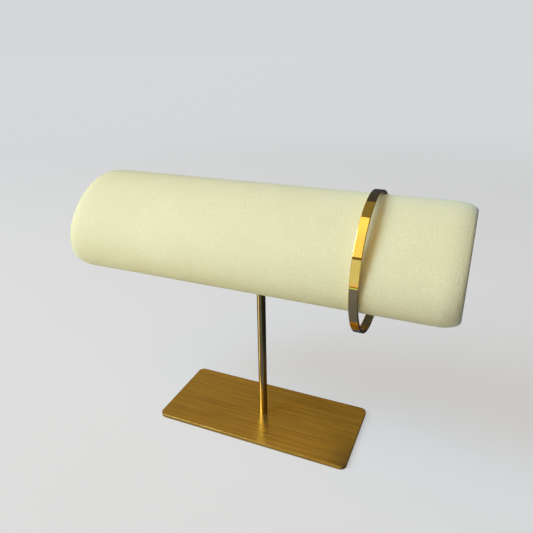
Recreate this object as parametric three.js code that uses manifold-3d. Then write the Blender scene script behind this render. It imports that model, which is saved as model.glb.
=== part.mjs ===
// A plain gold bangle hung round the padded bar of a small T-bar display stand.
// Millimetres, +Z up, +X along the bar, +Y to the back.
// The origin is the centre of the base plate's underside.

import * as THREE from "three";
import { mergeVertices } from "three/addons/utils/BufferGeometryUtils.js";
import Module from "manifold-3d";

const wasm = await Module();
wasm.setup();

// ---------------------------------------------------------------- driving dimensions

// The bangle: a flat band bent to a full circle.
const BANGLE = {
  innerRadius: 32.1,
  outerRadius: 33.3,
  width: 4.2,
  edgeChamfer: 0.2,
  centre: new THREE.Vector3(55.2, 2.2, 103.85),
};

// The brass base plate.
const BASE = { length: 110, width: 48.6, thickness: 2.05, cornerRadius: 3.5, edgeChamfer: 0.2 };

// The brass rod that carries the bar, and the blind hole it plugs into.
const POST = { radius: 2.3, depthInBar: 16, clearance: 0.3 };

// The padded bar: an oval section whose long axis rises towards the back,
// with softly drawn-in ends and a flat disc closing each end.
const BAR = {
  length: 195,
  longRadius: 29.8,
  shortRadius: 19.1,
  leanDegrees: 35,
  endLength: 10,
  endShare: 0.135,
  centre: new THREE.Vector3(0, -2.6, 110.75),
};

const BANGLE_SIDES = 144;
const BAR_SIDES = 96;
const BAR_END_STEPS = 6;
const POST_SIDES = 40;
const CORNER_STEPS = 8;

// ---------------------------------------------------------------- materials

function material(color, roughness, metalness) {
  return new THREE.MeshStandardMaterial({ color, roughness, metalness });
}

const polishedGold = () => material(0xe0b040, 0.08, 1);
const brushedBrass = () => material(0xa67c2e, 0.35, 1);
const creamLeatherette = () => material(0xe4e0c4, 0.6, 0);

// ---------------------------------------------------------------- helpers

// A geometry turned so that what ran along +Y runs along +X.
function alongX(geometry) {
  return geometry.rotateZ(-Math.PI / 2);
}

// A manifold-3d solid with the shape of a closed three.js geometry.
function solidFrom(geometry) {
  const bare = geometry.clone();
  bare.deleteAttribute("normal");
  bare.deleteAttribute("uv");
  const merged = mergeVertices(bare, 1e-4);
  const index = merged.index.array;
  const triangles = [];
  for (let i = 0; i < index.length; i += 3) {
    const [a, b, c] = [index[i], index[i + 1], index[i + 2]];
    if (a !== b && b !== c && c !== a) triangles.push(a, b, c);
  }
  const mesh = new wasm.Mesh({
    numProp: 3,
    vertProperties: new Float32Array(merged.attributes.position.array),
    triVerts: new Uint32Array(triangles),
  });
  return new wasm.Manifold(mesh);
}

// The three.js geometry of a manifold-3d solid.
function geometryFrom(solid) {
  const { vertProperties, triVerts } = solid.getMesh();
  const geometry = new THREE.BufferGeometry();
  geometry.setAttribute("position", new THREE.BufferAttribute(vertProperties, 3));
  geometry.setIndex(new THREE.BufferAttribute(triVerts, 1));
  geometry.computeVertexNormals();
  return geometry;
}

function named(name, geometry, surface, position = new THREE.Vector3()) {
  const mesh = new THREE.Mesh(geometry, surface);
  mesh.name = name;
  mesh.position.copy(position);
  return mesh;
}

// ---------------------------------------------------------------- stand

function roundedRectangle(length, width, radius) {
  const x = length / 2 - radius;
  const y = width / 2 - radius;
  const shape = new THREE.Shape();
  shape.absarc(x, y, radius, 0, Math.PI / 2);
  shape.absarc(-x, y, radius, Math.PI / 2, Math.PI);
  shape.absarc(-x, -y, radius, Math.PI, 1.5 * Math.PI);
  shape.absarc(x, -y, radius, 1.5 * Math.PI, 2 * Math.PI);
  return shape;
}

// A flat plate with rounded corners and a small chamfer round both faces.
function basePlate() {
  const chamfer = BASE.edgeChamfer;
  const outline = roundedRectangle(BASE.length, BASE.width, BASE.cornerRadius);
  const plate = new THREE.ExtrudeGeometry(outline, {
    depth: BASE.thickness - 2 * chamfer,
    bevelEnabled: true,
    bevelThickness: chamfer,
    bevelSize: chamfer,
    bevelOffset: -chamfer,
    bevelSegments: 1,
    curveSegments: CORNER_STEPS,
  }).translate(0, 0, chamfer);
  return named("base_plate", plate, brushedBrass());
}

// Height of the leaning oval's underside, from the oval's centre, at a distance y behind it.
function ovalUndersideAt(y) {
  const lean = THREE.MathUtils.degToRad(BAR.leanDegrees);
  const [a, b] = [BAR.longRadius ** 2, BAR.shortRadius ** 2];
  const [c, s] = [Math.cos(lean), Math.sin(lean)];
  const reach = a * c * c + b * s * s;
  const middle = (y * c * s * (a - b)) / reach;
  const half = Math.sqrt(a * b * (reach - y * y)) / reach;
  return middle - half;
}

// The rod stands on the plate and ends inside the bar.
const barUnderside = BAR.centre.z + ovalUndersideAt(-BAR.centre.y);
const socketTop = barUnderside + POST.depthInBar;

function post() {
  const height = socketTop - POST.clearance - BASE.thickness;
  const circle = new THREE.Shape().absarc(0, 0, POST.radius, 0, 2 * Math.PI);
  const rod = new THREE.ExtrudeGeometry(circle, {
    depth: height,
    bevelEnabled: false,
    curveSegments: POST_SIDES,
  });
  return named("post", rod, brushedBrass(), new THREE.Vector3(0, 0, BASE.thickness));
}

// Outline of the bar as a turned body of radius 1, from one end to the other.
function barOutline() {
  const half = BAR.length / 2;
  const arc = [];
  for (let step = 0; step <= BAR_END_STEPS; step++) {
    const turn = ((step / BAR_END_STEPS) * Math.PI) / 2;
    const radius = 1 - BAR.endShare * (1 - Math.sin(turn));
    arc.push(new THREE.Vector2(radius, half - BAR.endLength * (1 - Math.cos(turn))));
  }
  const lower = arc.map((point) => new THREE.Vector2(point.x, -point.y));
  return [new THREE.Vector2(0, -half), ...lower, ...arc.reverse(), new THREE.Vector2(0, half)];
}

// The turned body is squeezed to the oval, laid along X, leaned back and drilled for the rod.
function displayBar() {
  const oval = new THREE.LatheGeometry(barOutline(), BAR_SIDES).scale(
    BAR.shortRadius,
    1,
    BAR.longRadius,
  );
  // The oval's long axis, first along Z in the turned body, ends up leaning back from +Y.
  const lying = alongX(oval).rotateX(-Math.PI / 2 + THREE.MathUtils.degToRad(BAR.leanDegrees));
  const drill = new THREE.CylinderGeometry(
    POST.radius + POST.clearance,
    POST.radius + POST.clearance,
    BAR.shortRadius * 2,
    POST_SIDES,
  )
    .rotateX(Math.PI / 2)
    .translate(-BAR.centre.x, -BAR.centre.y, socketTop - BAR.shortRadius - BAR.centre.z);
  const drilled = solidFrom(lying).subtract(solidFrom(drill));
  return named("display_bar", geometryFrom(drilled), creamLeatherette(), BAR.centre);
}

// ---------------------------------------------------------------- bangle

// The band's cross-section, a flat rectangle with small chamfers, turned round the bangle's axis.
function bangle() {
  const { innerRadius, outerRadius, width, edgeChamfer: edge } = BANGLE;
  const half = width / 2;
  const section = [
    [innerRadius + edge, -half],
    [outerRadius - edge, -half],
    [outerRadius, edge - half],
    [outerRadius, half - edge],
    [outerRadius - edge, half],
    [innerRadius + edge, half],
    [innerRadius, half - edge],
    [innerRadius, edge - half],
    [innerRadius + edge, -half],
  ].map(([radius, along]) => new THREE.Vector2(radius, along));
  const band = alongX(new THREE.LatheGeometry(section, BANGLE_SIDES));
  return named("bangle", band, polishedGold(), BANGLE.centre);
}

// ---------------------------------------------------------------- assembly

const stand = new THREE.Group();
stand.add(basePlate(), post(), displayBar());

const part = new THREE.Group();
part.add(stand, bangle());

export default part;
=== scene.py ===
# %% [markdown]
# A plain gold bangle on a bracelet display stand.
#
# The stand is four real pieces: a brushed brass base plate, a brass rod, a padded
# bar covered with cream leatherette, and the bangle that hangs round the bar. Their
# sizes are already settled in a imported CAD model, so this lesson only dresses them.
# Each CAD piece is faceted: good for measuring, but a mirror-polished band needs
# smooth faces and rounded edges. So every piece is made again here, finely, on the
# measures of its CAD piece, and the CAD piece is hidden.
#
# First the model is loaded, and each of its pieces is kept with its place baked into
# its points, so that its box can be measured.

import math

import bmesh
import bpy
import numpy as np
from mathutils import Matrix, Vector


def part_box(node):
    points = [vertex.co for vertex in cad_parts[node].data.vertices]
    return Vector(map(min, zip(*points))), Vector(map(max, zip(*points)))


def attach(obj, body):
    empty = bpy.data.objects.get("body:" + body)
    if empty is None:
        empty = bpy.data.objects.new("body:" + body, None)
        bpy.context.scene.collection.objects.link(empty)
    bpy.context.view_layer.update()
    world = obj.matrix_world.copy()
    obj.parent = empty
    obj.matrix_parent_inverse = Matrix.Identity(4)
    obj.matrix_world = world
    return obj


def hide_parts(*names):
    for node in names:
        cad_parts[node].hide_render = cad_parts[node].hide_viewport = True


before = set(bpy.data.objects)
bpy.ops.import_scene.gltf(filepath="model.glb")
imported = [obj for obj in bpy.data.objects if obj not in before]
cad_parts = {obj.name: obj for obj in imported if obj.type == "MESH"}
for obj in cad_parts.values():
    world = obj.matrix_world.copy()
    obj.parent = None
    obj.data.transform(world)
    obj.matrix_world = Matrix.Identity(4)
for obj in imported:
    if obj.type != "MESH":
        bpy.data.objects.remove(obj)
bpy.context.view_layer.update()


# %% [markdown]
# All places come from the boxes of the CAD pieces. A box gives a ring's centre and
# radius at once. For the bar it takes one step more: its section is an oval that
# leans back by a known angle, and the half height and half depth of a leaning oval
# give its two radii by Pythagoras' rule on squares.

# %% Measures taken from the frame
MM = 0.001


def middle(box):
    return (box[0] + box[1]) / 2


def extent(box):
    return box[1] - box[0]


PLATE_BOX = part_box("base_plate")
ROD_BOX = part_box("post")
BAR_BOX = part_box("display_bar")
BANGLE_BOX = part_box("bangle")

BANGLE_CENTRE = middle(BANGLE_BOX)
BANGLE_RADIUS = extent(BANGLE_BOX).z / 2
BAND_WIDTH = extent(BANGLE_BOX).x

BAR_CENTRE = middle(BAR_BOX)
BAR_HALF = extent(BAR_BOX).x / 2
BAR_LEAN = math.radians(35)


def leaning_oval_radii(half_depth, half_height, lean):
    total = half_depth**2 + half_height**2
    difference = (half_depth**2 - half_height**2) / math.cos(2 * lean)
    return math.sqrt((total + difference) / 2), math.sqrt((total - difference) / 2)


BAR_LONG, BAR_SHORT = leaning_oval_radii(extent(BAR_BOX).y / 2, extent(BAR_BOX).z / 2, BAR_LEAN)
print(f"bar oval {BAR_LONG / MM:.1f} x {BAR_SHORT / MM:.1f} mm in radius")
print(f"bangle radius {BANGLE_RADIUS / MM:.1f} mm, band {BAND_WIDTH / MM:.1f} mm wide")

# %% [markdown]
# The camera is made first, so that every later cell can be looked at. It stands in
# front, right of the middle and above the bar, turned left and tipped down. A camera
# starts out looking straight down with its top towards +Y: tipping it up by a right
# angle less the downward tilt, then turning it about the vertical, aims it. A small
# roll about its own axis comes first.

# %% The camera
CAMERA_PLACE = Vector((0.0964, -0.2141, 0.19605))
CAMERA_TURN_LEFT = math.radians(23.5)
CAMERA_TILT_DOWN = math.radians(23.608)
CAMERA_ROLL = math.radians(-0.867)
CAMERA_FOCAL_MM = 34.1
CAMERA_SENSOR_MM = 36


def make_camera():
    data = bpy.data.cameras.new("camera")
    data.sensor_width = CAMERA_SENSOR_MM
    data.lens = CAMERA_FOCAL_MM
    data.clip_start = 0.01
    camera = bpy.data.objects.new("camera", data)
    bpy.context.scene.collection.objects.link(camera)
    turn = Matrix.Rotation(CAMERA_TURN_LEFT, 4, "Z")
    tilt = Matrix.Rotation(math.pi / 2 - CAMERA_TILT_DOWN, 4, "X")
    roll = Matrix.Rotation(CAMERA_ROLL, 4, "Z")
    camera.matrix_world = Matrix.Translation(CAMERA_PLACE) @ turn @ tilt @ roll
    bpy.context.scene.camera = camera
    return camera


make_camera()
print("the camera stands at", [round(c / MM) for c in CAMERA_PLACE], "mm")

# %% [markdown]
# Materials are node trees. Written out node by node they are hard to read, so small
# classes carry the work. A Wire wraps one output socket, and ordinary sums on it add
# Math nodes: 1 - mask or grain * 0.3 read as what they do. A Sheet is any node tree,
# and its node method makes any other node from its type, its settings and what goes
# into its sockets. Colours are blended with a Mix node, because a Math node would
# turn them grey.

# %% Wires and sheets
class Wire:
    """A value that runs from node to node. Sums on it add Math nodes."""

    def __init__(self, sheet, socket):
        self.sheet = sheet
        self.socket = socket

    def __add__(self, other):
        return self.sheet.maths("ADD", self, other)

    __radd__ = __add__

    def __sub__(self, other):
        return self.sheet.maths("SUBTRACT", self, other)

    def __rsub__(self, other):
        return self.sheet.maths("SUBTRACT", other, self)

    def __mul__(self, other):
        return self.sheet.maths("MULTIPLY", self, other)

    __rmul__ = __mul__


class Sheet:
    """A node tree that nodes are added to."""

    def __init__(self, tree):
        self.tree = tree

    def node(self, kind, settings=None, sockets=None, output=0):
        made = self.tree.nodes.new(kind)
        for name, value in (settings or {}).items():
            setattr(made, name, value)
        for name, value in (sockets or {}).items():
            self.join(value, made.inputs[name])
        return Wire(self, made.outputs[output]) if len(made.outputs) else made

    def maths(self, operation, *values):
        return self.node("ShaderNodeMath", {"operation": operation}, dict(enumerate(values)))

    def join(self, value, socket):
        if isinstance(value, Wire):
            self.tree.links.new(value.socket, socket)
        else:
            socket.default_value = value

    def blend(self, share, first, second):
        """A colour between two colours."""
        colours = {0: share, 6: first, 7: second}
        return self.node("ShaderNodeMix", {"data_type": "RGBA"}, colours, output=2)

    def step(self, value, low, high):
        """0 below low, 1 above high, and a straight rise between."""
        sockets = {"Value": value, "From Min": low, "From Max": high}
        return self.node("ShaderNodeMapRange", sockets=sockets)

    def soft_step(self, value, low, high):
        """0 below low, 1 above high, and smooth between."""
        sockets = {"Value": value, "From Min": low, "From Max": high}
        return self.node("ShaderNodeMapRange", {"interpolation_type": "SMOOTHSTEP"}, sockets)


print("wires and sheets are ready")

# %% [markdown]
# A Finish is the sheet of one material, round the Principled shader that Blender
# puts in it. Its methods are what every finish here is made of: a place on the
# piece, noise at that place, relief, and values for the shader's sockets. Patterns
# start from Object coordinates, so they lie still on the piece wherever it goes.

# %% Finishes
class Finish(Sheet):
    """One material with a Principled shader."""

    def __init__(self, name):
        self.material = bpy.data.materials.new(name)
        self.material.use_nodes = True
        super().__init__(self.material.node_tree)
        self.shader = self.tree.nodes["Principled BSDF"]

    def set(self, **values):
        """Feeds the shader's sockets, named as in the shader but in lower case with _ for spaces."""
        sockets = {socket.name.lower().replace(" ", "_"): socket for socket in self.shader.inputs}
        for name, value in values.items():
            self.join(value, sockets[name])

    def object_place(self, scale=(1, 1, 1)):
        """Object coordinates, stretched by scale."""
        place = self.node("ShaderNodeTexCoord", output="Object")
        return self.node("ShaderNodeMapping", sockets={"Vector": place, "Scale": scale})

    def noise(self, place, scale, detail=2.0, roughness=0.5, output=0):
        sockets = {"Vector": place, "Scale": scale, "Detail": detail, "Roughness": roughness}
        return self.node("ShaderNodeTexNoise", sockets=sockets, output=output)

    def bump(self, height, distance):
        """A tilt of the surface, as if height stood out by distance."""
        sockets = {"Height": height, "Distance": distance, "Strength": 1.0}
        return self.node("ShaderNodeBump", sockets=sockets)


print("finishes are ready")

# %% [markdown]
# Meshes are made from loops: closed rows of points that follow each other along a
# piece, like the rings of a barrel. Neighbouring loops are joined by four-sided
# faces, and each end is closed by one flat face. Smooth shading rounds whatever
# lies between two loops, so a flat face stays flat only if one more loop is laid
# close beside each of its rounded edges.

# %% A mesh from loops
def mesh_from_loops(name, loops):
    count = len(loops[0])
    points = np.concatenate([np.asarray(loop, float) for loop in loops])
    faces = [tuple(range(count - 1, -1, -1))]
    for row in range(len(loops) - 1):
        for column in range(count):
            after = (column + 1) % count
            low = row * count
            high = low + count
            faces.append((low + column, low + after, high + after, high + column))
    last = (len(loops) - 1) * count
    faces.append(tuple(range(last, last + count)))
    mesh = bpy.data.meshes.new(name)
    mesh.from_pydata(points.tolist(), [], faces)
    return finished_mesh(mesh)


def finished_mesh(mesh):
    """Merges doubles, turns every face outwards and shades the mesh smooth."""
    work = bmesh.new()
    work.from_mesh(mesh)
    bmesh.ops.remove_doubles(work, verts=work.verts, dist=1e-7)
    bmesh.ops.recalc_face_normals(work, faces=work.faces)
    work.to_mesh(mesh)
    work.free()
    mesh.shade_smooth()
    mesh.update()
    return mesh


def piece(name, mesh, finish, node):
    """A finished piece, which rides on the stand's body in place of its CAD node."""
    made = bpy.data.objects.new(name, mesh)
    bpy.context.scene.collection.objects.link(made)
    mesh.materials.clear()
    mesh.materials.append(finish.material)
    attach(made, "root")
    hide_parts(node)
    print(f"{name}: {len(mesh.polygons)} faces")
    return made


# %% [markdown]
# Leatherette is cloth under a skin of soft plastic that was pressed with a leather
# grain. Seen close, it is a field of small pebbles with fine creases between them,
# longer round the bar than along it because the sheet is pulled tight over it. A
# Voronoi texture gives the pebbles: its distance to the nearest cell edge is zero
# in the creases. Its coordinates are first pushed about by noise, or the cells
# would look cut with a knife. The same pattern makes the creases duller, and it
# darkens them a touch in colour: that darkening is painted shade in the creases. A
# sheen lightens the skin a little where it turns away from the eye; its cool tint is
# painted cool light.

# %% Cream leatherette
PEBBLE = 1.0 * MM
PEBBLE_STRETCH = 0.6
WANDER_SCALE = 0.9
WANDER_SIZE = (0.9, 0.9, 0.9)
CREASE_WIDTH = 0.22
PORE_SCALE = 4.5
CREAM_CLOUD_SCALE = 35
GRAIN_DEPTH = 0.1 * MM
CREAM_DARK = (0.8, 0.735, 0.455, 1)
CREAM_LIGHT = (0.83, 0.77, 0.49, 1)
# painted shade: the darker cream that the creases are blended towards
CREASE_SHADE_CREAM = (0.71, 0.645, 0.385, 1)
# painted cool light: a bluish tint for the skin's sheen
COOL_LIGHT_SHEEN_TINT = (0.6, 0.85, 1.0, 1)


def pebble_grain(finish, place):
    """1 on the pebbles and 0 in the creases between them."""
    wander = finish.noise(place, WANDER_SCALE, 2, output="Color")
    push = {0: wander, 1: WANDER_SIZE, 2: place}
    pushed = finish.node("ShaderNodeVectorMath", {"operation": "MULTIPLY_ADD"}, push)
    cells = {"feature": "DISTANCE_TO_EDGE"}
    crease = finish.node("ShaderNodeTexVoronoi", cells, {"Vector": pushed, "Scale": 1.0})
    return finish.soft_step(crease, 0.0, CREASE_WIDTH)


def cream_leatherette():
    finish = Finish("cream_leatherette")
    round_bar = PEBBLE_STRETCH / PEBBLE
    place = finish.object_place((1 / PEBBLE, round_bar, round_bar))
    pebbles = pebble_grain(finish, place)
    pores = finish.noise(place, PORE_SCALE, 3, 0.6)
    cloudy = finish.noise(finish.object_place(), CREAM_CLOUD_SCALE, 3, 0.55)
    plain = finish.blend(finish.soft_step(cloudy, 0.3, 0.7), CREAM_DARK, CREAM_LIGHT)
    # the creases are blended towards a darker cream: painted shade in the creases
    finish.set(base_color=finish.blend(pebbles * 0.4 + 0.6, CREASE_SHADE_CREAM, plain))
    finish.set(roughness=0.64 - pebbles * 0.1 + pores * 0.06)
    finish.set(normal=finish.bump(pebbles * 0.7 + pores * 0.3, GRAIN_DEPTH))
    finish.set(ior=1.45, specular_ior_level=0.2)
    # the sheen's cool tint is painted cool light at the grazing top edges
    finish.set(sheen_weight=0.4, sheen_roughness=0.4, sheen_tint=COOL_LIGHT_SHEEN_TINT)
    return finish


leatherette = cream_leatherette()
print("leatherette grain is", len(leatherette.tree.nodes), "nodes")

# %% [markdown]
# Brushed brass was dragged along one way over an abrasive belt. The scratches are
# too fine to see one by one, but together they stretch every reflection across
# their own direction, and a few deeper ones show as streaks. Noise that is squeezed
# hard across the scratches and drawn out along them makes both: a fine layer tilts
# the surface for the stretched reflections, and a coarse one gives the streaks in
# colour and gloss. The plate is brushed along its length, and it has a haze as well:
# the finest scratches scatter some light widely, which the shader's sheen stands
# for. The rod was polished as it turned, so its scratches run round it, and they are
# so shallow that it has no haze.

# %% Brushed brass
HAIR_ACROSS_MM = 0.16
HAIR_LENGTH_MM = 20
LINE_ACROSS_MM = 0.9
LINE_LENGTH_MM = 45
BRASS_CLOUD_SCALE = 28
PLATE_LIGHT = (0.62, 0.385, 0.105, 1)
PLATE_DARK = (0.42, 0.26, 0.075, 1)
PLATE_SCRATCH = 0.028 * MM
ROD_LIGHT = (0.72, 0.5, 0.15, 1)
ROD_DARK = (0.62, 0.42, 0.12, 1)
ROD_SCRATCH = 0.004 * MM
HAZE_TINT = (1.0, 0.6, 0.13, 1)


def brushed_brass(name, along, light, dark, roughness, scratch, haze):
    """Brass scratched along the axes in along, with scratches of a given depth."""
    finish = Finish(name)

    def streaks(across_mm, length_mm, detail):
        across = 1 / (across_mm * MM)
        drawn = 1 / (length_mm * MM)
        scale = [drawn if axis in along else across for axis in "xyz"]
        return finish.noise(finish.object_place(scale), 1.0, detail)

    hair = streaks(HAIR_ACROSS_MM, HAIR_LENGTH_MM, 2)
    lines = streaks(LINE_ACROSS_MM, LINE_LENGTH_MM, 5)
    cloudy = finish.noise(finish.object_place(), BRASS_CLOUD_SCALE, 2)
    tone = finish.soft_step(lines * 0.7 + cloudy * 0.3, 0.35, 0.65)
    finish.set(base_color=finish.blend(tone, dark, light))
    finish.set(roughness=roughness + lines * 0.1 - 0.05 + cloudy * 0.04)
    finish.set(normal=finish.bump(hair, scratch))
    finish.set(metallic=1.0)
    finish.set(sheen_weight=haze, sheen_roughness=0.5, sheen_tint=HAZE_TINT)
    return finish


plate_brass = brushed_brass("brushed_brass", "x", PLATE_LIGHT, PLATE_DARK, 0.19, PLATE_SCRATCH, 0.8)
rod_brass = brushed_brass("turned_brass", "xy", ROD_LIGHT, ROD_DARK, 0.15, ROD_SCRATCH, 0.0)
print("two brasses, the plate brushed along x and the rod polished round")

# %% [markdown]
# The bangle is polished until it mirrors the room. Polishing wheels still leave a
# trace: hair-fine lines that run round the band. They only show as faint streaks in
# the reflections, so the relief is tiny. The lines have to follow the ring, so the
# pattern reads two coordinates only: the place across the band, and the distance
# from the bangle's axis, which is the same all round. Noise over those two is drawn
# out into rings by itself.

# %% Polished gold
GOLD = (1.0, 0.71, 0.235, 1)
POLISH_LINE = 0.09 * MM
POLISH_DEPTH = 0.00035 * MM
SMUDGE_SCALE = 160
MIRROR_ROUGHNESS = 0.02


def polished_gold():
    finish = Finish("polished_gold")
    hang = finish.node("ShaderNodeTexCoord", output="Object")
    centre = {0: hang, 1: tuple(BANGLE_CENTRE)}
    from_axis = finish.node("ShaderNodeVectorMath", {"operation": "SUBTRACT"}, centre)
    parts = finish.node("ShaderNodeSeparateXYZ", sockets={0: from_axis}).socket.node
    x, y, z = (Wire(finish, parts.outputs[axis]) for axis in "XYZ")
    radius = finish.maths("SQRT", y * y + z * z)
    rings = finish.node("ShaderNodeCombineXYZ", sockets={"X": x, "Y": radius})
    hair = finish.noise(rings, 1 / POLISH_LINE, 2)
    smudge = finish.soft_step(finish.noise(hang, SMUDGE_SCALE, 3, 0.6), 0.5, 0.8)
    finish.set(base_color=GOLD)
    finish.set(roughness=MIRROR_ROUGHNESS + hair * 0.02 + smudge * 0.02)
    finish.set(normal=finish.bump(hair, POLISH_DEPTH))
    finish.set(metallic=1.0)
    return finish


gold = polished_gold()
print("polished gold is", len(gold.tree.nodes), "nodes")

# %% [markdown]
# The base plate is sheet brass with rounded corners, and its cut edges are broken
# by a small round. A cube with a bevel would do, but its corners and its edges need
# different radii, so the outline is drawn as four arcs and stacked in loops: up the
# side, round the edge, and on to the flat.

# %% The base plate
PLATE_CORNER = 3.5 * MM
PLATE_EDGE = 0.2 * MM
CORNER_POINTS = 20
EDGE_POINTS = 5
FLAT_GUARD = 0.15 * MM


def plate_outline(inset, height):
    """The plate's outline, drawn in by inset, at a height."""
    radius = PLATE_CORNER - inset
    reach = extent(PLATE_BOX) / 2
    centre = middle(PLATE_BOX)
    loop = []
    for quarter, (side_x, side_y) in enumerate([(1, 1), (-1, 1), (-1, -1), (1, -1)]):
        corner_x = centre.x + side_x * (reach.x - PLATE_CORNER)
        corner_y = centre.y + side_y * (reach.y - PLATE_CORNER)
        for step in range(CORNER_POINTS + 1):
            turn = (quarter + step / CORNER_POINTS) * math.pi / 2
            x = corner_x + radius * math.cos(turn)
            y = corner_y + radius * math.sin(turn)
            loop.append((x, y, height))
    return loop


def rounded_edge(low, high, edge):
    """(inset, height) pairs up a plate's side, with both of its edges rounded."""
    turns = [step / EDGE_POINTS * math.pi / 2 for step in range(EDGE_POINTS + 1)]
    bottom = [(edge * (1 - math.sin(turn)), low + edge * (1 - math.cos(turn))) for turn in turns]
    guards = [(0, low + edge + FLAT_GUARD), (0, high - edge - FLAT_GUARD)]
    top = [(edge * (1 - math.cos(turn)), high - edge * (1 - math.sin(turn))) for turn in turns]
    return [(edge + FLAT_GUARD, low), *bottom, *guards, *top, (edge + FLAT_GUARD, high)]


def plate_mesh():
    steps = rounded_edge(PLATE_BOX[0].z, PLATE_BOX[1].z, PLATE_EDGE)
    return mesh_from_loops("plate", [plate_outline(inset, height) for inset, height in steps])


piece("plate", plate_mesh(), plate_brass, "base_plate")

# %% [markdown]
# The padded bar is a core with thin foam round it and leatherette pulled over the
# foam. Its section is a leaning oval. Near each end the cover draws in, turns over
# the edge and is glued down, and a flat disc of the same leatherette closes the end:
# the narrow groove between them is where the two meet. All of this is one tight
# skin, so it is one mesh: oval loops from end to end, each with its own size.

# %% The profile of the padded bar
DRAW_IN_LENGTH = 10 * MM
DRAW_IN_SHARE = 0.135
TURNOVER_SHARE = 0.8
GROOVE_DEPTH = 0.45 * MM
GROOVE_SHARE = 0.012
FACE_INSET = 0.02 * MM
FACE_STEPS = (0.006, 0.015, 0.03, 0.045)
LIP_INSETS = (0.03 * MM, 0.1 * MM)
RIM_INSETS = (0.4 * MM, 0.33 * MM)
DISC_INSET = 0.3 * MM
DISC_CROWN = 0.25 * MM
DISC_SHARES = (0.74, 0.68, 0.6, 0.5, 0.4, 0.3, 0.2, 0.1, 0.03)
DRAW_IN_STEPS = 16
BODY_STEP = 2.0 * MM
SOCKET_STEP = 0.4 * MM
SOCKET_REACH = 5 * MM


def end_profile():
    """(distance in from the end, share of the full oval), from the body to the disc's middle."""
    steps = []
    for step in range(DRAW_IN_STEPS + 1):
        turn = (1 - step / DRAW_IN_STEPS) * math.pi / 2
        steps.append((DRAW_IN_LENGTH * (1 - math.cos(turn)), 1 - DRAW_IN_SHARE * (1 - math.sin(turn))))
    turnover = [(FACE_INSET, 1 - DRAW_IN_SHARE - inward) for inward in FACE_STEPS]
    lip = [(inset, TURNOVER_SHARE + GROOVE_SHARE * out) for inset, out in zip(LIP_INSETS, (1, 0.5))]
    groove = [(GROOVE_DEPTH, TURNOVER_SHARE), (GROOVE_DEPTH, TURNOVER_SHARE - GROOVE_SHARE / 4)]
    rim = [(inset, TURNOVER_SHARE - inner * GROOVE_SHARE) for inset, inner in zip(RIM_INSETS, (1, 1.6))]
    disc = []
    for share in DISC_SHARES:
        disc.append((DISC_INSET - DISC_CROWN * (1 - (share / TURNOVER_SHARE) ** 2), share))
    return steps + turnover + lip + groove + rim + disc


def body_places():
    """Places along the bar between its drawn-in ends, closer together where the rod goes in."""
    limit = BAR_HALF - DRAW_IN_LENGTH
    coarse = np.arange(-limit + BODY_STEP, limit - BODY_STEP / 2, BODY_STEP)
    fine = np.arange(-SOCKET_REACH, SOCKET_REACH + SOCKET_STEP / 2, SOCKET_STEP)
    far = coarse[np.abs(coarse) > SOCKET_REACH + SOCKET_STEP]
    return np.sort(np.concatenate([far, fine]))


def bar_profile():
    """(place along the bar, share of the full oval) from the left disc to the right one."""
    ends = end_profile()
    left = [(-BAR_HALF + inward, share) for inward, share in reversed(ends)]
    body = [(place, 1.0) for place in body_places()]
    right = [(BAR_HALF - inward, share) for inward, share in ends]
    return left + body + right


profile = bar_profile()
print(f"the bar has {len(profile)} loops")

# %% [markdown]
# A sheet wrapped round a bar has to meet itself somewhere: here that is a butt seam
# low at the back, where nobody looks. It is pressed into the loops as a narrow
# groove, so the points round the oval are set closer together there. Where the rod
# goes in, the cover is pulled inwards a little with the edge of its hole, which
# makes a small dimple. Both are smooth bell-shaped pushes towards the bar's middle.

# %% The cover of the padded bar
AROUND_POINTS = 220
SEAM_TURN = math.radians(262)
SEAM_WIDTH = 0.3 * MM
SEAM_DEPTH = 0.3 * MM
SEAM_CLUSTER = 0.04
SEAM_CLUSTER_POINTS = 17
SEAM_CLEARANCE = 0.05
DIMPLE_WIDTH = 2.4 * MM
DIMPLE_DEPTH = 0.9 * MM


def around_turns():
    """Angles round the oval, with a close cluster at the seam."""
    even = np.linspace(0, 2 * math.pi, AROUND_POINTS, endpoint=False)
    cluster = SEAM_TURN + np.linspace(-SEAM_CLUSTER, SEAM_CLUSTER, SEAM_CLUSTER_POINTS)
    clear = even[np.abs(even - SEAM_TURN) > SEAM_CLEARANCE]
    return np.sort(np.concatenate([clear, cluster]))


def bell(distance, width):
    return np.exp(-((distance / width) ** 2))


def bar_loop(place, share, turns):
    y = BAR_LONG * np.cos(turns)
    z = BAR_SHORT * np.sin(turns)
    from_seam = (turns - SEAM_TURN) * np.hypot(BAR_LONG * np.sin(turns), BAR_SHORT * np.cos(turns))
    seam = SEAM_DEPTH * bell(from_seam, SEAM_WIDTH) * (share > TURNOVER_SHARE + GROOVE_SHARE)
    shrink = share * (1 - seam / np.hypot(y, z))
    lean_y = math.cos(BAR_LEAN) * y - math.sin(BAR_LEAN) * z
    lean_z = math.sin(BAR_LEAN) * y + math.cos(BAR_LEAN) * z
    loop_y = BAR_CENTRE.y + shrink * lean_y
    loop_z = BAR_CENTRE.z + shrink * lean_z
    rod = middle(ROD_BOX)
    from_rod = np.hypot(place - rod.x, loop_y - rod.y)
    underneath = loop_z < BAR_CENTRE.z
    loop_z = loop_z + DIMPLE_DEPTH * bell(from_rod, DIMPLE_WIDTH) * underneath
    return np.column_stack([np.full_like(turns, place), loop_y, loop_z])


def bar_mesh():
    turns = around_turns()
    return mesh_from_loops("bar", [bar_loop(place, share, turns) for place, share in profile])


bar = piece("padded_bar", bar_mesh(), leatherette, "display_bar")

# %% [markdown]
# The bangle follows one rule: a flat section that goes round a circle. That is what
# Geometry Nodes do best. The section is a closed wire, drawn in Python with a guard
# point beside each rounded edge. The tree turns the wire into a curve, sweeps it
# round a circle and stands the ring upright. Its sizes are named inputs, so the same
# tree bends a band of any size.

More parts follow.
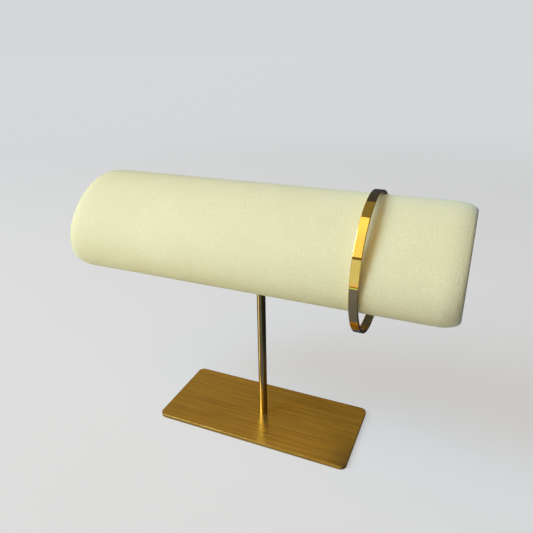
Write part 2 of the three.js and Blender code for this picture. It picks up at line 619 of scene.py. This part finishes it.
# %% A tree that bends a band
def add_inputs(tree, inputs):
    """Named inputs on a Geometry Nodes tree, and the identifier of each."""
    found = {}
    for name, kind in inputs.items():
        found[name] = tree.interface.new_socket(name, in_out="INPUT", socket_type=kind).identifier
    tree.interface.new_socket("Geometry", in_out="OUTPUT", socket_type="NodeSocketGeometry")
    return found


def bend_band_tree():
    tree = bpy.data.node_groups.new("bend_band", "GeometryNodeTree")
    inputs = {
        "Section": "NodeSocketGeometry",
        "Radius": "NodeSocketFloat",
        "Sides": "NodeSocketInt",
        "Centre": "NodeSocketVector",
        "Finish": "NodeSocketMaterial",
    }
    identifiers = add_inputs(tree, inputs)
    sheet = Sheet(tree)
    entry = tree.nodes.new("NodeGroupInput")
    given = {name: Wire(sheet, entry.outputs[name]) for name in inputs}
    section = sheet.node("GeometryNodeMeshToCurve", sockets={"Mesh": given["Section"]})
    sizes = {"Resolution": given["Sides"], "Radius": given["Radius"]}
    circle = sheet.node("GeometryNodeCurvePrimitiveCircle", sockets=sizes)
    swept = {"Curve": circle, "Profile Curve": section}
    band = sheet.node("GeometryNodeCurveToMesh", sockets=swept)
    upright = {"Geometry": band, "Translation": given["Centre"], "Rotation": (0, math.pi / 2, 0)}
    ring = sheet.node("GeometryNodeTransform", sockets=upright)
    real = sheet.node("GeometryNodeRealizeInstances", sockets={"Geometry": ring})
    faced = {"Geometry": real, "Material": given["Finish"]}
    finished = sheet.node("GeometryNodeSetMaterial", sockets=faced)
    leave = tree.nodes.new("NodeGroupOutput")
    tree.links.new(finished.socket, leave.inputs["Geometry"])
    return tree, identifiers


band_tree, band_inputs = bend_band_tree()
print("the band tree takes", list(band_inputs))

# %% [markdown]
# A tree runs in a modifier, and the modifier finds an input by its identifier, not by
# its name. It is only needed once: it runs on an object that is thrown away, and the
# evaluated shape is kept as a plain mesh.

# %% A mesh grown by a tree
def grown_mesh(name, start, tree, identifiers, values):
    """Runs a Geometry Nodes tree on a start mesh once, and returns the result as a plain mesh."""
    carrier = bpy.data.objects.new(name, start)
    bpy.context.scene.collection.objects.link(carrier)
    modifier = carrier.modifiers.new(tree.name, "NODES")
    modifier.node_group = tree
    for key, value in values.items():
        modifier[identifiers[key]] = value
    evaluated = carrier.evaluated_get(bpy.context.evaluated_depsgraph_get())
    grown = bpy.data.meshes.new_from_object(evaluated)
    bpy.data.objects.remove(carrier)
    return finished_mesh(grown)


print("a tree's shape can be kept")

# %% [markdown]
# The band's section is a flat rectangle with softly broken edges. It is wider than
# it is thick, like a strip of sheet metal, and its outer face is truly flat across,
# which is why each reflection ends in a straight line from edge to edge.

# %% The bangle
BAND_THICKNESS = 1.2 * MM
BAND_EDGE = 0.3 * MM
BAND_EDGE_POINTS = 6
BAND_GUARD = 0.06 * MM
BANGLE_SIDES = 288


def band_section():
    """A closed wire with rounded corners: x is the band's thickness and y its width."""
    reach_x = BAND_THICKNESS / 2
    reach_y = BAND_WIDTH / 2
    outline = []
    for quarter, (side_x, side_y) in enumerate([(1, 1), (-1, 1), (-1, -1), (1, -1)]):
        x = side_x * (reach_x - BAND_EDGE)
        y = side_y * (reach_y - BAND_EDGE)
        start = quarter * math.pi / 2
        arc = [start + step / BAND_EDGE_POINTS * math.pi / 2 for step in range(BAND_EDGE_POINTS + 1)]
        corner = [(x + BAND_EDGE * math.cos(turn), y + BAND_EDGE * math.sin(turn)) for turn in arc]
        first, last = corner[0], corner[-1]
        before = (first[0] + BAND_GUARD * math.sin(start), first[1] - BAND_GUARD * math.cos(start))
        after = (last[0] - BAND_GUARD * math.cos(start), last[1] - BAND_GUARD * math.sin(start))
        outline += [before, *corner, after]
    return outline


def wire_mesh(name, outline):
    points = [(x, y, 0) for x, y in outline]
    edges = [(index, (index + 1) % len(points)) for index in range(len(points))]
    mesh = bpy.data.meshes.new(name)
    mesh.from_pydata(points, edges, [])
    return mesh


band_values = {
    "Radius": BANGLE_RADIUS - BAND_THICKNESS / 2,
    "Sides": BANGLE_SIDES,
    "Centre": BANGLE_CENTRE,
    "Finish": gold.material,
}
section = wire_mesh("section", band_section())
band_mesh = grown_mesh("band", section, band_tree, band_inputs, band_values)
bangle = piece("gold_bangle", band_mesh, gold, "bangle")
print("bangle spans", [round(side / MM, 2) for side in bangle.dimensions], "mm")

# %% [markdown]
# The rod is a plain round bar of brass. A straight piece needs no tree: circles
# stacked as loops make it, drawn in at both ends for the broken edge where it was cut
# off. Its lower end stands on the plate, and its upper end is hidden inside the bar.

# %% The rod
ROD_EDGE = 0.15 * MM
ROD_SIDES = 64


def rod_mesh():
    centre = middle(ROD_BOX)
    radius = extent(ROD_BOX).x / 2
    turns = np.linspace(0, 2 * math.pi, ROD_SIDES, endpoint=False)
    loops = []
    for inset, height in rounded_edge(ROD_BOX[0].z, ROD_BOX[1].z, ROD_EDGE):
        x = centre.x + (radius - inset) * np.cos(turns)
        y = centre.y + (radius - inset) * np.sin(turns)
        loops.append(np.column_stack([x, y, np.full_like(turns, height)]))
    return mesh_from_loops("rod", loops)


piece("rod", rod_mesh(), rod_brass, "post")

# %% [markdown]
# The studio. Polished metal shows nothing but its surroundings, so the surroundings
# are designed as carefully as the piece. Every light is a rectangular panel that
# faces a given point. Its power is worked out from its size and brightness, so a
# panel can be made larger, for softer shadows, and still look as bright in the metal.

# %% A light panel
def light_panel(name, centre, aim, size, colour, radiance):
    """A rectangular light that faces aim. Its power follows from its size and brightness."""
    data = bpy.data.lights.new(name, "AREA")
    data.shape = "RECTANGLE"
    data.size, data.size_y = size
    data.color = colour
    data.energy = radiance * math.pi * size[0] * size[1]
    panel = bpy.data.objects.new(name, data)
    bpy.context.scene.collection.objects.link(panel)
    facing = (Vector(aim) - Vector(centre)).to_track_quat("-Z", "Y")
    panel.matrix_world = Matrix.Translation(centre) @ facing.to_matrix().to_4x4()
    return panel


def around_bangle(distance, turn_degrees, rise_degrees):
    """A place seen from the bangle: turned left from straight in front, and raised."""
    turn = math.radians(turn_degrees)
    rise = math.radians(rise_degrees)
    level = distance * math.cos(rise)
    offset = (-level * math.sin(turn), -level * math.cos(turn), distance * math.sin(rise))
    return BANGLE_CENTRE + Vector(offset)


print("light panels can be hung")

# %% [markdown]
# Two large lights carry the scene: a warm window in front and above, and a cool light
# far off at the left. Where a gap opens between the band and the bar, each throws its
# own soft shadow of the band. The band mirrors the window, so the window and its aim
# are slid together until its edges lie at the right places on the band, while the
# direction that it shines in stays the same.
#
# Two weak lights help the soft surfaces and are hidden from reflections: a warm fill
# in front, and a small cool one behind the bar that lifts its top near the right end.

# %% Lights
WARM = (1.0, 0.78, 0.34)
COOL = (0.53, 0.86, 1.26)
AMBER = (1.0, 0.46, 0.12)
SKY = (0.33, 0.57, 1.0)
SLIDE = Vector((-0.256, 0.136, 0))

window = light_panel(
    "window_light",
    centre=around_bangle(0.9, turn_degrees=28, rise_degrees=56) + SLIDE,
    aim=BANGLE_CENTRE + SLIDE,
    size=(1.3, 1.01),
    colour=WARM,
    radiance=1.15,
)
side = light_panel(
    "side_light",
    centre=around_bangle(2.4, turn_degrees=54, rise_degrees=38),
    aim=BANGLE_CENTRE,
    size=(0.9, 1.65),
    colour=COOL,
    radiance=11.2,
)
fill = light_panel(
    "fill_light",
    centre=around_bangle(1.2, turn_degrees=32, rise_degrees=30),
    aim=BANGLE_CENTRE,
    size=(1.2, 1.2),
    colour=AMBER,
    radiance=0.3,
)
crown = light_panel(
    "crown_light",
    centre=BAR_CENTRE + Vector((0.08, 0.08, 0.09)),
    aim=BAR_CENTRE + Vector((0.08, 0, 0.02)),
    size=(0.05, 0.05),
    colour=SKY,
    radiance=5.2,
)
crown.visible_camera = False
for soft_light in (fill, crown):
    soft_light.visible_glossy = False
print("lights:", window.name, side.name, fill.name, crown.name)

# %% [markdown]
# The reflectors are what a jeweller sets up round a ring to picture it: cards that
# only the metal sees. Each is a strip of a wide tube round the bangle's axis, so a
# strip between two angles makes one clean zone on the band. A card shines from the
# side that faces the bangle and is clear from behind, so a near card hides nothing
# from the rest of the stand. The cards are hidden from the camera and from soft
# light, and they belong to the stage.

# %% Reflector cards
CARD_STEP_DEGREES = 3


def glow(name, colour, strength):
    """A material that shines from its face and is clear from behind."""
    material = bpy.data.materials.new(name)
    material.use_nodes = True
    sheet = Sheet(material.node_tree)
    material.node_tree.nodes.clear()
    shine = sheet.node("ShaderNodeEmission", sockets={"Color": (*colour, 1), "Strength": strength})
    behind = sheet.node("ShaderNodeNewGeometry", output="Backfacing")
    clear = sheet.node("ShaderNodeBsdfTransparent")
    one_sided = sheet.node("ShaderNodeMixShader", sockets={0: behind, 1: shine, 2: clear})
    sheet.node("ShaderNodeOutputMaterial", sockets={"Surface": one_sided})
    return material


def stage_card(name, points, faces, colour, strength=1.0):
    """A glowing card that only reflections see."""
    mesh = bpy.data.meshes.new(name)
    mesh.from_pydata(points, [], faces)
    mesh.materials.append(glow(name, colour, strength))
    card = bpy.data.objects.new(name, mesh)
    bpy.context.scene.collection.objects.link(card)
    card.visible_camera = False
    card.visible_diffuse = False
    card.visible_shadow = False
    card.visible_transmission = False
    return card


def reflector(name, distance, rises, reach, colour):
    """A card from one x to another, between two rises in degrees from straight in front."""
    low, high = rises
    left, right = reach
    count = max(2, round((high - low) / CARD_STEP_DEGREES) + 1)
    points = []
    for rise in np.radians(np.linspace(low, high, count)):
        y = BANGLE_CENTRE.y - distance * math.cos(rise)
        z = BANGLE_CENTRE.z + distance * math.sin(rise)
        points += [(left, y, z), (right, y, z)]
    faces = [(row, row + 2, row + 3, row + 1) for row in range(0, 2 * count - 2, 2)]
    return stage_card(name, points, faces, colour)


print("cards can be cut")

# %% [markdown]
# There are seven cards. A wall stands in front, with a thin dark sill above it, and a
# ledge, a dark gap and a line of green below it: these are for the middle and the
# lower part of the band. A ceiling and a backdrop close in over the bangle, from
# straight above to straight behind, and are for the top of the band.

# %% The cards round the bangle
WALL_DISTANCE = 0.3
LEDGE_DISTANCE = 0.28
ARCH_DISTANCE = 0.09
WIDE = (-0.3, 0.2)
NARROW = (0.02, 0.075)
CEILING = (0.22, 0.195, 0.095)
CARDS = {
    "wall_card": (WALL_DISTANCE, (-15, 22.5), WIDE, (0.65, 0.69, 0.52)),
    "sill_card": (WALL_DISTANCE, (22.5, 25.5), WIDE, (0.18, 0.14, 0.08)),
    "ledge_card": (LEDGE_DISTANCE, (-17, -13.5), WIDE, (0.78, 0.6, 0.27)),
    "gap_card": (LEDGE_DISTANCE, (-18.5, -17), WIDE, (0.16, 0.12, 0.06)),
    "grass_card": (LEDGE_DISTANCE, (-20.5, -18.5), WIDE, (0.55, 0.75, 0.3)),
    "ceiling_card": (ARCH_DISTANCE, (90, 109), NARROW, CEILING),
    "backdrop_card": (ARCH_DISTANCE, (109, 180), NARROW, (0.05, 0.055, 0.09)),
}
for card_name, card_measures in CARDS.items():
    reflector(card_name, *card_measures)
print("cards:", ", ".join(CARDS))

# %% [markdown]
# The stand has three reflections of its own. A low card close in front of the plate
# lights the plate's narrow front side. Two strips lie just above the plate and spread
# out to the left of the rod, like sunlight on a table. The rod mirrors them as the
# bright line down its left side: the far strip is bright and lights most of the rod,
# and the near one is weak and lights only its foot.

# %% The plate's card and the rod's strips
EDGE_CARD_GAP = 0.6 * MM
EDGE_CARD_HEIGHT = 1.7 * MM
EDGE_CARD_COLOUR = (0.44, 0.4, 0.2)
STRIP_LIFT = 0.3 * MM
STRIP_TURN = 60
STRIP_HALF_WIDTH = 9
STRIP_COLOUR = (1.0, 1.0, 0.85)


def edge_card():
    """A low card close in front of the plate."""
    low, high = PLATE_BOX[0], PLATE_BOX[1]
    y = low.y - EDGE_CARD_GAP
    points = [(x, y, z) for z in (low.z, low.z + EDGE_CARD_HEIGHT) for x in (low.x, high.x)]
    return stage_card("plate_edge_card", points, [(0, 2, 3, 1)], EDGE_CARD_COLOUR)


def floor_strip(name, near, far, strength):
    """A glowing strip that spreads out from the rod between two distances."""
    points = []
    for distance in (near, far):
        for turn in (STRIP_TURN - STRIP_HALF_WIDTH, STRIP_TURN + STRIP_HALF_WIDTH):
            angle = math.radians(turn)
            x = -distance * math.sin(angle)
            y = -distance * math.cos(angle)
            points.append((x, y, PLATE_BOX[1].z + STRIP_LIFT))
    return stage_card(name, points, [(0, 1, 3, 2)], STRIP_COLOUR, strength)


edge_card()
floor_strip("rod_strip", near=0.05, far=0.3, strength=1.8)
floor_strip("rod_near_strip", near=0.004, far=0.05, strength=0.55)
print("the plate's card and the rod's strips are laid")

# %% [markdown]
# The floor is plain and pale: one wide sheet that glows softly in the backdrop's
# colour and takes that colour fully with distance, so no horizon shows. The metal
# would turn flat and milky if it mirrored so much pale floor, as polished things do
# in a white box. So the floor answers each kind of ray on its own. The camera sees it
# pale. Reflections see it dim, and darker to the right. To soft light it is warm to
# the left and cool to the right, which tints the shaded underside of the bar.

# %% The floor
FLOOR_HALF = 12
KINDS = ("Camera", "Diffuse", "Glossy")
FLOOR_GLOW = 0.7
FADE = (0.35, 1.2)
BOUNCE_BORDER = (0.0, 0.25)
MIRROR_BORDER = (0.02, 0.08)
PAPER = (0.96, 0.9, 0.86, 1)
BACKDROP = (0.66, 0.67, 0.685, 1)
BOUNCE_LEFT = (0.98, 0.9, 0.66, 1)
BOUNCE_RIGHT = (0.28, 0.36, 0.62, 1)
MIRRORED_LEFT = (0.15, 0.17, 0.34, 1)
MIRRORED_RIGHT = (0.025, 0.03, 0.05, 1)
BLACK = (0, 0, 0, 1)


def pale_paper():
    finish = Finish("pale_floor")
    rays = finish.tree.nodes.new("ShaderNodeLightPath").outputs
    seen, bouncing, mirrored = (Wire(finish, rays[f"Is {kind} Ray"]) for kind in KINDS)
    place = finish.node("ShaderNodeTexCoord", output="Object")
    distance = finish.node("ShaderNodeVectorMath", {"operation": "LENGTH"}, {0: place}, output="Value")
    x = finish.node("ShaderNodeSeparateXYZ", sockets={0: place}, output="X")
    glowing = finish.soft_step(distance, *FADE) * (1 - FLOOR_GLOW) + FLOOR_GLOW
    backdrop_share = glowing * seen
    bounce = finish.blend(finish.soft_step(x, *BOUNCE_BORDER), BOUNCE_LEFT, BOUNCE_RIGHT)
    mirror = finish.blend(finish.soft_step(x, *MIRROR_BORDER), MIRRORED_LEFT, MIRRORED_RIGHT)
    paper = finish.blend(bouncing, finish.blend(mirrored, PAPER, mirror), bounce)
    finish.set(base_color=finish.blend(backdrop_share, paper, BLACK))
    finish.set(emission_color=finish.blend(backdrop_share, BLACK, BACKDROP))
    finish.set(emission_strength=1.0, roughness=0.9, specular_ior_level=0.1)
    return finish


def pale_floor():
    mesh = bpy.data.meshes.new("floor")
    low = PLATE_BOX[0].z
    square = [(-1, -1), (1, -1), (1, 1), (-1, 1)]
    mesh.from_pydata([(x * FLOOR_HALF, y * FLOOR_HALF, low) for x, y in square], [], [(0, 1, 2, 3)])
    mesh.materials.append(pale_paper().material)
    floor = bpy.data.objects.new("floor", mesh)
    bpy.context.scene.collection.objects.link(floor)
    return floor


pale_floor()
print("the floor is", 2 * FLOOR_HALF, "m wide")

# %% [markdown]
# The room is only the world's colour, and it answers each kind of ray too. The camera
# sees the plain backdrop. Metal sees a room: nearly black in front, brownish at the
# back left, golden high up at the back, black at the back right, and a muted ceiling.
# Soft surfaces see warm light from the left and almost none from the right. Each
# zone is picked out by a step on one part of the ray's direction: across it to the
# right, into the room, or up.

# %% The colours of the room
UP_TO_CEILING = (0.84, 0.94)
UP_TO_HIGH_WALL = (0.62, 0.7)
INTO_ROOM = (-0.3, 0.2)
OFF_LEFT_WALL = (-0.45, -0.1)
ONTO_RIGHT_WALL = (0.0, 0.2)
SOFT_ACROSS = (-0.6, 0.3)
METAL_CEILING = (*CEILING, 1)
METAL_FRONT = (0.04, 0.04, 0.05, 1)
METAL_LEFT_WALL = (0.43, 0.34, 0.145, 1)
METAL_HIGH_WALL = (0.8, 0.64, 0.2, 1)
SOFT_CEILING = (0.17, 0.12, 0.03, 1)
SOFT_LEFT = (0.48, 0.35, 0.13, 1)
SOFT_RIGHT = (0.02, 0.02, 0.02, 1)


def room_for_metal(sheet, across, into, up):
    """The colour that a reflected ray finds in its direction."""
    middle_wall = sheet.blend(sheet.step(up, *UP_TO_HIGH_WALL), BLACK, METAL_HIGH_WALL)
    left_part = sheet.blend(sheet.step(across, *OFF_LEFT_WALL), METAL_LEFT_WALL, middle_wall)
    back = sheet.blend(sheet.step(across, *ONTO_RIGHT_WALL), left_part, BLACK)
    level = sheet.blend(sheet.step(into, *INTO_ROOM), METAL_FRONT, back)
    return sheet.blend(sheet.step(up, *UP_TO_CEILING), level, METAL_CEILING)


def room_for_soft_light(sheet, across, up):
    """The colour that a scattered ray finds in its direction."""
    level = sheet.blend(sheet.step(across, *SOFT_ACROSS), SOFT_LEFT, SOFT_RIGHT)
    return sheet.blend(sheet.step(up, *UP_TO_CEILING), level, SOFT_CEILING)


print("the room is painted")

# %% [markdown]
# The world's shader asks which kind of ray has come. A Mix Shader for rays mirrored
# by metal sits inside a second one for rays from the camera, so that each kind gets
# its own colours. The view transform is Standard, which shows every colour as it is,
# where a film curve would fade the brightest ones.

# %% The world
def room():
    world = bpy.data.worlds.new("room")
    bpy.context.scene.world = world
    world.use_nodes = True
    world.node_tree.nodes.clear()
    sheet = Sheet(world.node_tree)

    def background(colour):
        return sheet.node("ShaderNodeBackground", sockets={"Color": colour, "Strength": 1.0})

    camera_ray = sheet.node("ShaderNodeLightPath", output="Is Camera Ray")
    glossy_ray = sheet.node("ShaderNodeLightPath", output="Is Glossy Ray")
    direction = sheet.node("ShaderNodeTexCoord", output="Generated")
    parts = sheet.node("ShaderNodeSeparateXYZ", sockets={0: direction}).socket.node
    across, into, up = (Wire(sheet, parts.outputs[axis]) for axis in "XYZ")
    metal = background(room_for_metal(sheet, across, into, up))
    soft = background(room_for_soft_light(sheet, across, up))
    unseen = sheet.node("ShaderNodeMixShader", sockets={0: glossy_ray, 1: soft, 2: metal})
    backdrop = {0: camera_ray, 1: unseen, 2: background(BACKDROP)}
    shown = sheet.node("ShaderNodeMixShader", sockets=backdrop)
    sheet.node("ShaderNodeOutputWorld", sockets={"Surface": shown})
    return world


room()
bpy.context.scene.view_settings.view_transform = "Standard"
print("the room has", len(bpy.context.scene.world.node_tree.nodes), "nodes")
